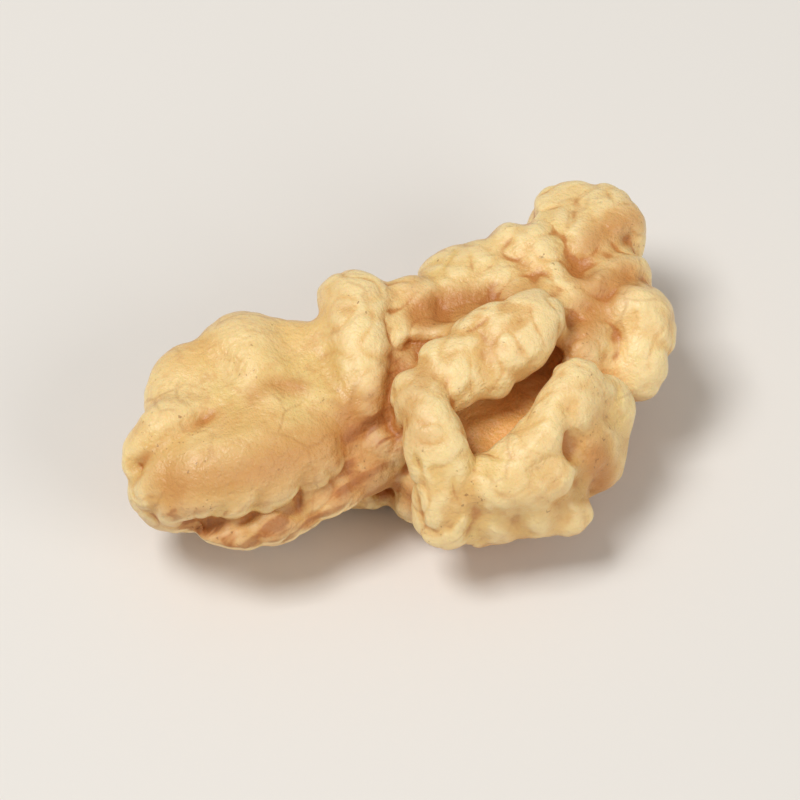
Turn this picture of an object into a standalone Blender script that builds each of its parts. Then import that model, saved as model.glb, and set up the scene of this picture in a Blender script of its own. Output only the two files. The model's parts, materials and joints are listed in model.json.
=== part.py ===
"""Half of a walnut kernel, seen on its inner face and lying on its ribbed back.

Two lobes are joined by a narrow bridge. A finger of flesh leans over a deep window on the right, a
thin brown skin lies between the left lobe and the bridge, and the back is folded into ribs that run
from the rim to the keel. Lengths below are in millimetres: x along the kernel, y across it, z up
from the foot of the front wall. The script sets the kernel on its back and turns them into metres
at the end.
"""

import math

import bmesh
import bpy
import numpy as np

MM = 0.001

# Heights above the foot of the front wall, and how far the middle of the back hangs below that
RIM = 7.6
FACE = 9.6
FINGER_TOP = 9.5
BODY_RIM = 4.2
CORE_UNDERSIDE = 2.0
BODY_UNDERSIDE = 1.3
BACK_DROP = 1.5

# How fast a lobe draws in below its rim: 0.5 is full, 1 is slack
TUCK = 0.85

# Ribs of the back
RIB_WIDTH = 4.0
RIB_DEPTH_TO_WIDTH = 0.88
RIB_SWAY = 1.1
RIB_TAPER = 0.22
KEEL_RIDGE_WIDTH = 2.7
KEEL_RIDGE_DEPTH = 3.0

# Skin
LUMP_SIZE = 2.6
LUMP_HEIGHT_BACK = 0.62
LUMP_HEIGHT_FACE = 0.16
SWELL_SIZE = 3.4
SWELL_HEIGHT = 0.16
SEED = 11

# The flesh bulges away from this middle, in the proportions of this pebble
MIDDLE = (-0.5, -1.0, 6.0)
PEBBLE = (17.0, 10.0, 6.0)

# Mesh
JOIN_SIZE = 0.40
SOFTEN_STEPS = 5
FACES_KEPT = 0.28
REST_DEPTH = 0.35

KERNEL_COLOUR = (0.78, 0.55, 0.30, 1.0)


def clear_scene():
    for obj in list(bpy.data.objects):
        bpy.data.objects.remove(obj)


def smooth_path(points, count, closed=False):
    """Points on the Catmull-Rom curve through the given rows, at even steps of its parameter, all
    columns alike."""
    rows = np.asarray(points, float)
    if closed:
        rows = np.vstack((rows[-1:], rows, rows[:2]))
    else:
        rows = np.vstack((2 * rows[0] - rows[1], rows, 2 * rows[-1] - rows[-2]))
    t = np.linspace(0, len(rows) - 3, count, endpoint=not closed)
    t = np.minimum(t, len(rows) - 3 - 1e-9)
    i = t.astype(int)
    f = (t - i)[:, None]
    a, b, c, d = rows[i], rows[i + 1], rows[i + 2], rows[i + 3]
    cubic = (3 * b - a - 3 * c + d) * f**3
    return 0.5 * (2 * b + (c - a) * f + (2 * a - 5 * b + 4 * c - d) * f**2 + cubic)


def tube_faces(rings, sides):
    """Four-sided faces between neighbouring rings, and one face over each end."""
    i, j = np.meshgrid(np.arange(rings - 1), np.arange(sides), indexing="ij")
    a = i * sides + j
    b = i * sides + (j + 1) % sides
    faces = np.stack((a, b, b + sides, a + sides), -1).reshape(-1, 4).tolist()
    faces.append(list(range(sides))[::-1])
    faces.append(list(range((rings - 1) * sides, rings * sides)))
    return faces


def fold(points, facing=None, rings=28, sides=16, square=0.85):
    """A fold of flesh: rows of x, y, z, width, depth. A squarish ellipse is carried along the
    smooth path, its depth pointing out of the pebble or along facing, and both ends close like
    half a ball."""
    row = smooth_path(points, rings)
    centre, width, depth = row[:, :3], row[:, 3], row[:, 4]
    along = np.gradient(centre, axis=0)
    along /= np.linalg.norm(along, axis=1, keepdims=True)
    if facing is None:
        out = (centre - np.array(MIDDLE)) / np.array(PEBBLE) ** 2
    else:
        out = np.broadcast_to(facing, centre.shape)
    side = np.cross(along, out)
    side /= np.linalg.norm(side, axis=1, keepdims=True)
    out = np.cross(side, along)
    run = np.concatenate(([0], np.cumsum(np.linalg.norm(np.diff(centre, axis=0), axis=1))))
    to_end = np.minimum(run, run[-1] - run)
    cap = np.minimum(width, depth) / 2
    closing = np.sqrt(np.clip(1 - (1 - np.clip(to_end / cap, 0, 1)) ** 2, 0.02, 1))
    angle = np.linspace(0, 2 * math.pi, sides, endpoint=False)
    across = np.sign(np.cos(angle)) * np.abs(np.cos(angle)) ** square
    outward = np.sign(np.sin(angle)) * np.abs(np.sin(angle)) ** square
    ring = across[None, :, None] * side[:, None, :] * (width / 2 * closing)[:, None, None]
    ring = ring + outward[None, :, None] * out[:, None, :] * (depth / 2 * closing)[:, None, None]
    return (centre[:, None, :] + ring).reshape(-1, 3), tube_faces(rings, sides)


def lobe(outline, centre, crown, keel, fullness, rings=40, sides=160):
    """A pebble of flesh with a scalloped rim: rows of x, y, z round it. From keel to crown the
    outline shrinks to the centre as a power of the cosine, faster below the rim than above it,
    and the height follows the sine."""
    rim = smooth_path(outline, sides, closed=True)
    angle = np.linspace(-math.pi / 2 + 0.06, math.pi / 2 - 0.06, rings)
    shrink = np.cos(angle) ** np.where(angle > 0, fullness, TUCK)
    middle = np.array(centre)
    xy = middle + (rim[None, :, :2] - middle) * shrink[:, None, None]
    s = np.sin(angle)[:, None]
    upper = rim[None, :, 2] + (crown - rim[None, :, 2]) * s
    lower = rim[None, :, 2] + (rim[None, :, 2] - keel) * s
    z = np.where(angle[:, None] > 0, upper, lower)
    rows = np.concatenate((xy, z[:, :, None]), axis=2)
    turn = rim[:, 0] * np.roll(rim[:, 1], -1) - rim[:, 1] * np.roll(rim[:, 0], -1)
    if turn.sum() < 0:
        rows = rows[:, ::-1]
    return rows.reshape(-1, 3), tube_faces(rings, sides)


def left_lobe():
    """The broad smooth lobe, with the fold of its shoulder and the pillow along its front."""
    outline = [
        (-17.4, -1.2, RIM), (-15.8, 0.4, RIM), (-15.0, 2.2, RIM), (-13.9, 4.1, RIM),
        (-12.0, 5.4, RIM), (-9.6, 5.9, RIM), (-7.4, 5.6, RIM), (-5.4, 4.6, RIM), (-3.4, 4.3, RIM),
        (-1.6, 2.6, 7.4), (-1.0, 0.4, 7.0), (-1.8, -1.8, 6.6), (-3.4, -3.6, 6.2), (-6.0, -4.9, 5.8),
        (-9.4, -6.0, 5.8), (-12.6, -6.6, 5.8), (-15.6, -6.4, 6.0), (-17.4, -4.9, 6.4),
        (-18.0, -2.9, 7.0),
    ]
    shoulder = [(-11.4, -0.2, 8.2, 3.0, 2.2), (-14.0, -0.9, 8.6, 3.2, 2.4), (-16.4, -1.9, 7.9, 2.8, 2.4)]
    pillow = [
        (-5.0, -3.2, 7.2, 3.6, 3.0), (-8.0, -4.1, 7.3, 5.0, 4.0), (-11.6, -4.6, 7.2, 5.2, 4.6),
        (-14.6, -4.3, 7.1, 5.0, 4.8), (-15.9, -3.9, 6.9, 4.4, 4.4),
    ]
    inner_end = [(-4.8, 0.0, 8.0, 3.8, 3.0), (-4.5, 2.0, 8.3, 3.8, 3.0), (-4.0, 3.9, 7.9, 3.4, 3.0)]
    core = lobe(outline, (-9.0, -0.6), FACE, CORE_UNDERSIDE - 0.4 * BACK_DROP, 0.55)
    return [core, fold(shoulder), fold(pillow), fold(inner_end)]


def raised_scallop():
    """The tall rounded scallop at the inner end of the left lobe, and the saddle beside it."""
    scallop = [
        (-3.7, -3.4, 7.0, 2.8, 2.6), (-3.3, -1.6, 8.1, 3.4, 3.0), (-2.8, 0.4, 8.6, 3.9, 3.4),
        (-2.0, 3.2, 8.8, 4.6, 3.8),
        (-1.1, 6.2, 8.2, 5.0, 4.4),
    ]
    saddle = [
        (0.4, -0.6, 7.6, 4.4, 3.2), (0.8, 1.6, 8.0, 4.8, 3.6), (1.5, 3.6, 7.9, 4.8, 3.8),
        (1.9, 5.0, 7.4, 4.2, 3.8),
    ]
    return [fold(scallop), fold(saddle)]


def upper_lobe():
    """The far lobe on the right, with its large corner scallops."""
    outline = [
        (2.0, 5.0, 7.2), (3.6, 6.6, 7.4), (5.6, 7.4, 7.4), (7.2, 7.5, 7.5), (9.0, 8.2, RIM),
        (10.2, 8.1, RIM), (11.3, 9.5, 7.8), (13.0, 10.1, 7.8), (14.6, 9.6, 7.8), (16.2, 8.4, 7.8),
        (17.1, 6.7, 7.8), (16.8, 5.0, RIM), (16.0, 4.1, 7.4), (16.4, 2.8, 7.4), (15.6, 1.4, 7.0),
        (12.6, -0.4, 6.8), (9.0, -1.4, 6.6), (5.0, -1.4, 6.4), (1.4, -0.6, 6.4), (0.4, 2.0, 6.8),
    ]
    return [lobe(outline, (9.0, 2.6), FACE + 0.1, CORE_UNDERSIDE - 0.6 * BACK_DROP, 0.6)]


def body():
    """The flesh under the window and between the lobes, which the folds stand on."""
    outline = [
        (-4.0, -2.6, BODY_RIM), (-2.6, -5.4, 4.0), (0.0, -7.8, 4.0), (4.0, -8.4, 4.0),
        (8.0, -7.6, 4.0), (11.4, -5.0, BODY_RIM), (13.6, -2.4, 4.4), (14.0, 2.0, 4.8),
        (12.0, 5.4, 5.0), (7.0, 5.4, 5.0), (2.0, 4.0, 5.0), (-3.0, 3.0, 5.0), (-5.0, 0.0, 4.6),
    ]
    middle = [
        (0.2, 1.4, 7.0, 4.0, 3.6), (-0.7, -1.0, 6.9, 4.2, 3.6), (-1.4, -3.6, 6.0, 4.2, 3.6),
        (-1.8, -5.8, 5.0, 3.8, 3.4),
    ]
    under_skin = [(-1.4, -4.4, 4.4, 4.0, 4.0), (-4.2, -4.2, 3.8, 4.4, 3.8), (-8.0, -5.0, 3.6, 4.0, 3.4)]
    under_scallop = [(-4.4, 2.4, 4.4, 4.2, 4.4), (-1.4, 3.4, 4.2, 4.6, 5.0), (2.4, 3.6, 4.2, 4.2, 4.6)]
    core = lobe(outline, (3.0, -2.0), 6.3, BODY_UNDERSIDE - BACK_DROP, 0.7)
    return [core, fold(middle), fold(under_skin), fold(under_scallop)]


def finger():
    """The finger of flesh that leans over the window, the step in its front edge, and the flesh
    behind it."""
    z = FINGER_TOP
    spine = [
        (0.2, -2.6, z - 1.1, 4.4, 4.0), (2.8, -2.6, z - 0.3, 4.8, 3.8), (5.6, -1.8, z, 5.0, 3.8),
        (8.0, -0.7, z - 0.1, 4.0, 3.4), (10.1, -0.3, z - 0.5, 3.6, 3.2),
    ]
    edge = [
        (2.8, -3.9, z - 0.9, 2.4, 3.0), (4.6, -3.7, z - 0.6, 2.6, 3.0), (6.0, -3.3, z - 0.5, 2.4, 2.8),
    ]
    behind = [
        (1.4, -0.6, 8.0, 3.6, 2.8), (4.4, 0.2, 8.3, 3.6, 2.8), (7.2, 0.8, 8.4, 3.4, 2.8),
        (9.6, 1.2, 8.2, 3.2, 2.8),
    ]
    return [fold(spine), fold(edge), fold(behind)]


def bridge():
    """The ridge from the root of the finger over the front and down to the rest plane."""
    ridge = [
        (0.6, -2.0, 8.2, 3.6, 3.6), (0.0, -4.4, 8.9, 3.3, 3.8), (-0.1, -7.0, 8.6, 3.5, 3.8),
        (0.0, -8.6, 7.0, 4.0, 3.6), (0.2, -9.5, 5.0, 4.2, 3.6), (0.5, -9.7, 2.9, 4.2, 3.4),
    ]
    return [fold(ridge)]


def front_wall():
    """The upright folds between the bridge and the right end, with the rim that runs over their
    tops. They make the front and right side of the window."""
    second = [
        (2.6, -8.5, 7.3, 2.8, 2.6), (2.6, -9.2, 6.2, 3.2, 3.2), (2.7, -10.1, 4.0, 4.0, 3.2),
        (2.9, -9.8, 1.8, 3.2, 3.0),
    ]
    third = [
        (5.0, -8.0, 7.6, 3.0, 2.8), (5.1, -8.7, 6.6, 3.2, 3.4), (5.3, -10.1, 4.0, 4.0, 3.2),
        (5.5, -10.0, 1.8, 3.2, 3.0),
    ]
    fourth = [
        (6.9, -6.7, 7.9, 3.0, 2.8), (7.1, -7.4, 6.8, 3.6, 3.4), (7.4, -9.8, 4.0, 3.8, 3.2),
        (7.9, -10.7, 1.8, 3.4, 3.0),
    ]
    fifth = [
        (10.4, -4.6, 7.6, 3.8, 3.4), (10.6, -5.0, 7.2, 4.0, 3.8), (10.5, -5.4, 6.6, 4.0, 3.8),
        (10.2, -6.0, 5.4, 4.0, 3.8), (9.9, -7.4, 3.4, 3.8, 3.6), (9.8, -8.2, 2.0, 3.4, 3.2),
    ]
    between = [
        (8.4, -6.2, 7.9, 3.4, 3.6), (9.0, -6.6, 7.0, 4.0, 4.2), (9.1, -7.8, 5.0, 4.2, 4.4),
        (9.0, -8.8, 3.4, 3.6, 3.6),
    ]
    rim = [
        (3.1, -9.5, 6.8, 2.6, 2.8), (5.1, -8.7, 7.6, 2.8, 3.2), (7.6, -7.2, 8.2, 3.2, 3.4),
        (9.5, -5.6, 8.2, 4.0, 3.6), (10.9, -4.2, 8.1, 4.0, 3.6),
    ]
    face = [
        (0.6, -8.4, 6.0, 3.4, 5.0), (3.4, -9.1, 5.6, 3.8, 5.6), (6.2, -8.9, 5.6, 4.0, 5.6),
        (8.6, -8.0, 5.6, 4.0, 5.0),
    ]
    wall = [fold(second), fold(third), fold(fourth), fold(fifth), fold(between), fold(rim)]
    return wall + [fold(face, facing=(0.0, -0.55, 0.84))]


def end_knob():
    """The rounded lobe that closes the right end, and the floor of the groove beside it."""
    knob = [
        (12.6, -0.8, 6.8, 3.0, 3.2), (14.6, -0.2, 7.3, 4.2, 4.0), (14.8, -1.4, 6.4, 4.2, 4.0),
        (13.8, -2.3, 5.2, 4.0, 3.8), (12.4, -2.6, 3.6, 3.8, 3.6),
    ]
    link = [(11.6, -2.0, 5.6, 4.0, 4.0), (12.8, -2.2, 4.2, 4.4, 4.2), (12.6, 0.4, 3.6, 4.4, 4.2)]
    groove = [
        (8.6, -2.6, 6.4, 3.6, 2.8), (10.6, -2.4, 6.8, 4.4, 2.8), (12.0, -1.0, 6.9, 4.4, 2.8),
        (13.2, 0.4, 7.0, 4.2, 3.0), (14.4, 1.6, 7.2, 3.4, 3.2),
    ]
    return [fold(knob), fold(link), fold(groove)]


def septum_skin():
    """The broad thin skin left between the front pillow and the bridge, facing up and to the front,
    and the flank of the lobe above it."""
    skin = [
        (-1.2, -1.6, 7.2, 2.6, 1.8), (-2.6, -3.2, 6.5, 4.6, 1.8), (-4.9, -4.6, 5.6, 5.0, 1.8),
        (-8.4, -6.1, 4.8, 4.0, 1.7), (-12.2, -6.9, 4.6, 2.6, 1.5), (-15.0, -6.2, 5.0, 1.4, 1.2),
    ]
    flank = [
        (-2.6, -1.0, 7.5, 3.6, 1.8), (-4.8, -2.8, 7.2, 4.2, 2.0), (-7.6, -4.6, 6.4, 3.8, 1.8),
        (-10.4, -5.8, 5.7, 2.6, 1.4),
    ]
    return [fold(skin, facing=(-0.1, -0.5, 0.86)), fold(flank, facing=(-0.1, -0.62, 0.78))]


def rib(rim_x, rim_y, rim_z, keel_x, keel_y, width, sway):
    """A rib of the back: a quarter of an ellipse from the rim down to the keel, swaying sideways as
    a sine."""
    t = np.linspace(0, 1, 6)
    rim, keel = np.array((rim_x, rim_y)), np.array((keel_x, keel_y))
    across = np.array((-(keel - rim)[1], (keel - rim)[0]))
    across /= np.linalg.norm(across)
    xy = keel + (rim - keel) * (np.cos(t * math.pi / 2) ** 0.8)[:, None]
    xy = xy + across * (sway * np.sin(t * math.pi * 1.7))[:, None]
    low = width * 0.42 - BACK_DROP + 0.009 * (keel_x - 0.5) ** 2
    z = low + (rim_z - low) * (1 - np.sin(t * math.pi / 2) ** 1.3)
    wide = width * (1 - RIB_TAPER * t)
    return fold(np.column_stack((xy, z, wide, wide * RIB_DEPTH_TO_WIDTH)))


def back_ribs():
    """Ribs all round: each row is the point where it turns over the rim, the point where it meets
    the keel, and how much wider than the others it is."""
    rows = [
        (-16.1, -2.2, 5.6, -10.4, -1.4, -0.4), (-14.4, 0.8, 5.8, -9.0, 0.2, -0.6),
        (-12.4, 3.6, 5.8, -8.4, 1.4, -0.5), (-9.0, 4.3, 5.8, -6.2, 0.8, -0.3),
        (-5.8, 3.7, 5.8, -3.6, 1.0, -0.5), (-1.6, 5.6, 5.8, -1.0, 1.0, 0.2),
        (1.8, 4.2, 5.4, 1.4, 0.8, -0.2), (4.9, 5.8, 5.8, 3.6, 1.1, -0.4),
        (8.4, 6.6, 5.9, 6.0, 1.0, -0.4), (12.2, 8.1, 5.8, 8.2, 1.4, 0.2),
        (15.0, 6.4, 5.8, 10.0, 1.8, 0.0), (14.8, 3.0, 5.6, 10.6, 0.4, -0.4),
        (14.2, -1.0, 4.8, 9.4, -0.8, 0.0), (10.5, -4.6, 4.2, 8.4, -2.2, 0.0),
        (8.2, -7.8, 3.4, 6.2, -2.6, 0.0), (5.4, -8.6, 3.2, 4.0, -2.8, -0.2),
        (2.6, -8.6, 3.2, 1.8, -2.6, 0.0), (-0.6, -6.2, 3.4, -0.6, -2.8, -0.2),
        (-4.4, -4.4, 3.4, -3.2, -2.6, 0.0), (-8.4, -4.8, 4.2, -6.0, -2.4, 0.2),
        (-12.6, -4.8, 4.6, -8.6, -2.6, 0.2),
    ]
    rng = np.random.default_rng(SEED)
    ribs = []
    for rim_x, rim_y, rim_z, keel_x, keel_y, wider in rows:
        sway = rng.uniform(-RIB_SWAY, RIB_SWAY)
        ribs.append(rib(rim_x, rim_y, rim_z, keel_x, keel_y, RIB_WIDTH + wider, sway))
    return ribs


def keel_ridge():
    """The winding ridge along the middle of the back, which the ribs run up to."""
    x = np.linspace(-12.0, 13.0, 13)
    y = -0.7 + 0.05 * x + 0.75 * np.sin(x * 0.95) + 0.35 * np.sin(x * 2.1 + 1.0)
    z = KEEL_RIDGE_DEPTH / 2 - BACK_DROP + 0.02 * (x - 0.5) ** 2
    width = KEEL_RIDGE_WIDTH + 0.5 * np.sin(x * 1.4)
    return [fold(np.column_stack((x, y, z, width, np.full(13, KEEL_RIDGE_DEPTH))), rings=90)]


def piece_object(name, piece, collection):
    points, faces = piece
    mesh = bpy.data.meshes.new(name)
    mesh.from_pydata(points.tolist(), [], faces)
    mesh.update()
    obj = bpy.data.objects.new(name, mesh)
    collection.objects.link(obj)
    return obj


def joined(pieces):
    """All the pieces as one object: a Boolean union of the first with a collection of the others,
    then a voxel remesh that gives the union one even skin."""
    folds = bpy.data.collections.new("folds")
    bpy.context.scene.collection.children.link(folds)
    for number, piece in enumerate(pieces[1:]):
        piece_object(f"fold_{number}", piece, folds)
    kernel = piece_object("kernel", pieces[0], bpy.context.scene.collection)
    join = kernel.modifiers.new("join", "BOOLEAN")
    join.operation = "UNION"
    join.operand_type = "COLLECTION"
    join.collection = folds
    join.solver = "MANIFOLD"
    remesh = kernel.modifiers.new("one_skin", "REMESH")
    remesh.mode = "VOXEL"
    remesh.voxel_size = JOIN_SIZE
    remesh.use_smooth_shade = True
    soften = kernel.modifiers.new("soften", "SMOOTH")
    soften.factor = 0.5
    soften.iterations = SOFTEN_STEPS
    apply_modifiers(kernel)
    for obj in list(folds.objects):
        bpy.data.objects.remove(obj)
    bpy.data.collections.remove(folds)
    return kernel


def apply_modifiers(obj):
    graph = bpy.context.evaluated_depsgraph_get()
    mesh = bpy.data.meshes.new_from_object(obj.evaluated_get(graph))
    obj.modifiers.clear()
    obj.data = mesh


def one_body(obj):
    """Keeps the largest shell: a hollow that the folds seal is filled, and a loose scrap is dropped."""
    shell = bmesh.new()
    shell.from_mesh(obj.data)
    unseen = set(shell.verts)
    largest = set()
    while unseen:
        edge = [unseen.pop()]
        island = set(edge)
        while edge:
            for link in edge.pop().link_edges:
                for vertex in link.verts:
                    if vertex in unseen:
                        unseen.remove(vertex)
                        island.add(vertex)
                        edge.append(vertex)
        if len(island) > len(largest):
            largest = island
    rest = [vertex for vertex in shell.verts if vertex not in largest]
    bmesh.ops.delete(shell, geom=rest, context="VERTS")
    shell.to_mesh(obj.data)
    shell.free()


def read_points(mesh):
    points = np.empty(len(mesh.vertices) * 3)
    mesh.vertices.foreach_get("co", points)
    normals = np.empty(len(mesh.vertices) * 3)
    mesh.vertices.foreach_get("normal", normals)
    return points.reshape(-1, 3), normals.reshape(-1, 3)


def write_points(mesh, points):
    mesh.vertices.foreach_set("co", points.ravel())
    mesh.update()


def wave_sum(points, size, seed, waves=14):
    """A sum of sine waves in random directions, each of about half a wave to a lump, divided by its
    usual size."""
    rng = np.random.default_rng(seed)
    way = rng.normal(size=(waves, 3))
    way /= np.linalg.norm(way, axis=1, keepdims=True)
    way *= (math.pi / size) * rng.uniform(0.8, 1.25, (waves, 1))
    phase = rng.uniform(0, 2 * math.pi, waves)
    total = np.zeros(len(points))
    for direction, start in zip(way, phase):
        total += np.sin(points @ direction + start)
    return total * math.sqrt(2 / waves)


def billow(points, size, seed):
    """Rounded lumps parted by soft creases, from the size of a sum of waves: near 0 in a crease and
    near 1 on a lump."""
    return 1 - np.exp(-1.6 * np.sqrt(wave_sum(points, size, seed) ** 2 + 0.03))


def press_lines(points, normals, lines):
    """Moves the skin near each line along its normals, by height * exp(-(distance / half width)
    squared)."""
    moved = points.copy()
    for rows, half, height in lines:
        path = smooth_path(rows, 40)
        near = np.all((points > path.min(0) - 3 * half) & (points < path.max(0) + 3 * half), axis=1)
        p = points[near]
        start, leg = path[:-1], path[1:] - path[:-1]
        t = np.clip(((p[:, None] - start) * leg).sum(-1) / (leg * leg).sum(-1), 0, 1)
        gap = ((p[:, None] - (start + leg * t[..., None])) ** 2).sum(-1).min(1)
        moved[near] += normals[near] * (height * np.exp(-gap / half**2))[:, None]
    return moved


def creases():
    """The lines of the face and the front wall: rows of x, y, z, then half width, then height,
    minus for a crease."""
    left = [
        ([(-17.6, -3.0, 7.8), (-14.6, -2.3, 8.9), (-12.4, -1.7, 9.2)], 0.7, -1.1),
        ([(-12.4, -1.7, 9.2), (-10.4, -1.3, 9.5), (-8.0, -1.4, 9.5)], 1.0, -0.4),
        ([(-4.2, 4.8, 8.0), (-4.6, 1.8, 9.2), (-5.0, -1.0, 9.4)], 1.0, -0.35),
        ([(-9.2, 5.0, 8.0), (-8.6, 1.6, 9.4), (-8.2, -1.2, 9.4)], 1.4, 0.45),
        ([(-6.9, 5.0, 8.0), (-6.6, 2.0, 9.2), (-6.6, 0.0, 9.2)], 0.8, -0.45),
        ([(-11.6, 4.6, 8.0), (-11.0, 2.4, 9.2), (-10.6, 0.8, 9.4)], 0.8, -0.35),
        ([(-8.3, -0.4, 9.4), (-7.4, -1.6, 9.2), (-6.8, -2.4, 8.8)], 0.7, -0.5),
        ([(-15.2, -6.6, 5.2), (-12.0, -6.4, 5.4), (-9.0, -5.7, 5.8), (-5.6, -4.2, 6.6)], 0.6, -0.8),
    ]
    middle = [
        ([(0.0, -0.6, 8.2), (-1.0, -2.0, 8.0), (-1.8, -3.6, 7.4), (-2.2, -5.0, 6.6)], 0.5, -1.2),
        ([(2.2, 0.4, 9.0), (4.6, 1.0, 9.4), (7.8, 1.6, 9.4)], 1.2, -0.7),
    ]
    right = [
        ([(7.6, -2.6, 7.6), (10.4, -1.6, 8.0), (13.0, 0.4, 8.2), (15.4, 1.0, 7.6)], 0.8, -0.8),
        ([(10.6, 7.4, 8.4), (11.4, 5.0, 9.4), (12.0, 3.0, 9.5)], 0.9, -0.6),
        ([(4.0, -4.8, 9.4), (4.4, -2.6, 11.2), (4.6, -0.6, 10.6)], 0.6, -0.35),
        ([(7.0, -2.8, 9.8), (6.9, -1.2, 11.2), (6.6, 0.2, 10.4)], 0.6, -0.35),
        ([(15.8, 4.4, 8.2), (13.8, 3.4, 9.3), (12.0, 2.6, 9.5)], 0.9, -0.6),
        ([(7.6, 7.0, 8.2), (8.4, 4.4, 9.3), (9.2, 2.8, 9.5)], 0.8, -0.5),
    ]
    wall = [
        ([(1.7, -10.4, 6.8), (1.4, -11.4, 4.4), (2.0, -11.6, 2.4), (2.2, -10.8, 0.6)], 0.7, -0.55),
        ([(4.1, -9.4, 7.8), (3.7, -11.2, 5.2), (4.4, -11.8, 3.0), (4.2, -11.4, 0.8)], 0.7, -0.25),
        ([(5.6, -9.4, 7.6), (6.6, -10.6, 5.8), (6.4, -11.4, 3.0), (6.9, -11.0, 0.6)], 0.7, -0.45),
        ([(8.0, -7.8, 8.0), (8.8, -9.2, 5.4), (9.2, -10.2, 2.8), (9.2, -10.2, 0.6)], 0.75, -0.7),
    ]
    return left + middle + right + wall


def lumpy(obj):
    """Low lumps and broader swells all over, the lumps higher on the back than on the face, and then
    the creases."""
    points, normals = read_points(obj.data)
    facing_up = np.clip(normals[:, 2], 0, 1) * np.clip((points[:, 2] - 5) / 3, 0, 1)
    height = LUMP_HEIGHT_BACK + (LUMP_HEIGHT_FACE - LUMP_HEIGHT_BACK) * facing_up
    lumps = height * (billow(points, LUMP_SIZE, 5) - 0.6)
    lumps += SWELL_HEIGHT * wave_sum(points, SWELL_SIZE, 41)
    points = points + normals * lumps[:, None]
    write_points(obj.data, press_lines(points, normals, creases()))


def thinned(obj):
    """Fewer faces, with the corners of the joins eased first."""
    soften = obj.modifiers.new("soften", "SMOOTH")
    soften.factor = 0.5
    soften.iterations = 1
    fewer = obj.modifiers.new("fewer", "DECIMATE")
    fewer.ratio = FACES_KEPT
    fewer.use_collapse_triangulate = True
    apply_modifiers(obj)


def rested(obj):
    """Lowers the kernel until its lowest ribs are flat on the rest plane, and puts the middle of
    its box over the origin, now in metres."""
    points, _ = read_points(obj.data)
    points[:, 2] = np.maximum(points[:, 2] - points[:, 2].min() - REST_DEPTH, 0)
    middle = (points.min(0) + points.max(0)) / 2
    points[:, :2] -= middle[:2]
    write_points(obj.data, points * MM)


def kernel_material():
    material = bpy.data.materials.new("walnut_flesh")
    material.use_nodes = True
    shader = material.node_tree.nodes["Principled BSDF"]
    shader.inputs["Base Color"].default_value = KERNEL_COLOUR
    shader.inputs["Roughness"].default_value = 0.5
    shader.inputs["Metallic"].default_value = 0.0
    return material


def main():
    clear_scene()
    pieces = left_lobe() + raised_scallop() + upper_lobe() + body() + finger() + bridge()
    pieces += front_wall() + end_knob() + septum_skin() + back_ribs() + keel_ridge()
    kernel = joined(pieces)
    one_body(kernel)
    lumpy(kernel)
    thinned(kernel)
    rested(kernel)
    kernel.data.materials.clear()
    kernel.data.materials.append(kernel_material())
    kernel.data.shade_smooth()


main()
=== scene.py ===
import json
import math

import bmesh
import bpy
import numpy as np
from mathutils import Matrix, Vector

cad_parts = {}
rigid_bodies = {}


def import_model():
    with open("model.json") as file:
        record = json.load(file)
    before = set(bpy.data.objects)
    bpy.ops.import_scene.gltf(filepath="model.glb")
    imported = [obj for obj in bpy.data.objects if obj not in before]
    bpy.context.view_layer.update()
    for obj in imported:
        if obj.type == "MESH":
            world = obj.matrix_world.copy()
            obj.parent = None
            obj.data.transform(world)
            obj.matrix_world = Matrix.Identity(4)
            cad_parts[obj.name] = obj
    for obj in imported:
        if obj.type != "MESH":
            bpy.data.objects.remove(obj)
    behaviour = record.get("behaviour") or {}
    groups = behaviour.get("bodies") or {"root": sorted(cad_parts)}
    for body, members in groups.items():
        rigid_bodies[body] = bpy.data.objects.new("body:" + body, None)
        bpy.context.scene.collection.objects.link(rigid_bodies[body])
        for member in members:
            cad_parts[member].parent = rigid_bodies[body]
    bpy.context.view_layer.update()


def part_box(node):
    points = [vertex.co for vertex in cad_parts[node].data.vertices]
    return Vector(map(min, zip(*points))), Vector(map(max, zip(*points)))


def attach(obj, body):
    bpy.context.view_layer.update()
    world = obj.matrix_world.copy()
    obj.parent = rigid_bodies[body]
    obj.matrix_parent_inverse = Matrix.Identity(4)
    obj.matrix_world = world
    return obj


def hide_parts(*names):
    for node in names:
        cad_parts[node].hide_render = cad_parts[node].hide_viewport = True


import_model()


# LEFT LOBE
# The broad smooth lobe of the half, solid flesh with a scalloped rim that rolls over to the back.
# The shoulder is the fold across its outer end, and the pillow swells along its front edge.
# Rows are in millimetres: x along the kernel, y across it, z up from the foot of the front wall.
# The keel of the back hangs BACK_DROP below that foot.

RIM = 7.6
FACE = 9.6
LOBE_UNDERSIDE = 2.0
BACK_DROP = 1.5

# A lobe closes below its rim as the cosine to the power of its tuck, and its poles stay a little
# open. Folds stand out of a pebble with this middle and these half sizes
TUCK = 0.85
POLE_GAP = 0.06
FOLD_SQUARENESS = 0.85
MIDDLE = np.array((-0.5, -1.0, 6.0))
PEBBLE = np.array((17.0, 10.0, 6.0))


def smooth_path(rows, count, closed=False):
    """Points on the Catmull-Rom curve through the rows: between two rows each column is a cubic of
    the step, with the slope at a row half the difference of the rows beside it."""
    rows = np.asarray(rows, float)
    if closed:
        rows = np.vstack((rows[-1:], rows, rows[:2]))
    else:
        rows = np.vstack((2 * rows[0] - rows[1], rows, 2 * rows[-1] - rows[-2]))
    legs = len(rows) - 3
    along = np.minimum(np.linspace(0, legs, count, endpoint=not closed), legs - 1e-9)
    leg = along.astype(int)
    step = (along - leg)[:, None]
    before, start, end, after = (rows[leg + k] for k in range(4))
    squared = (2 * before - 5 * start + 4 * end - after) * step**2
    cubed = (3 * start - before - 3 * end + after) * step**3
    return 0.5 * (2 * start + (end - before) * step + squared + cubed)


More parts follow.
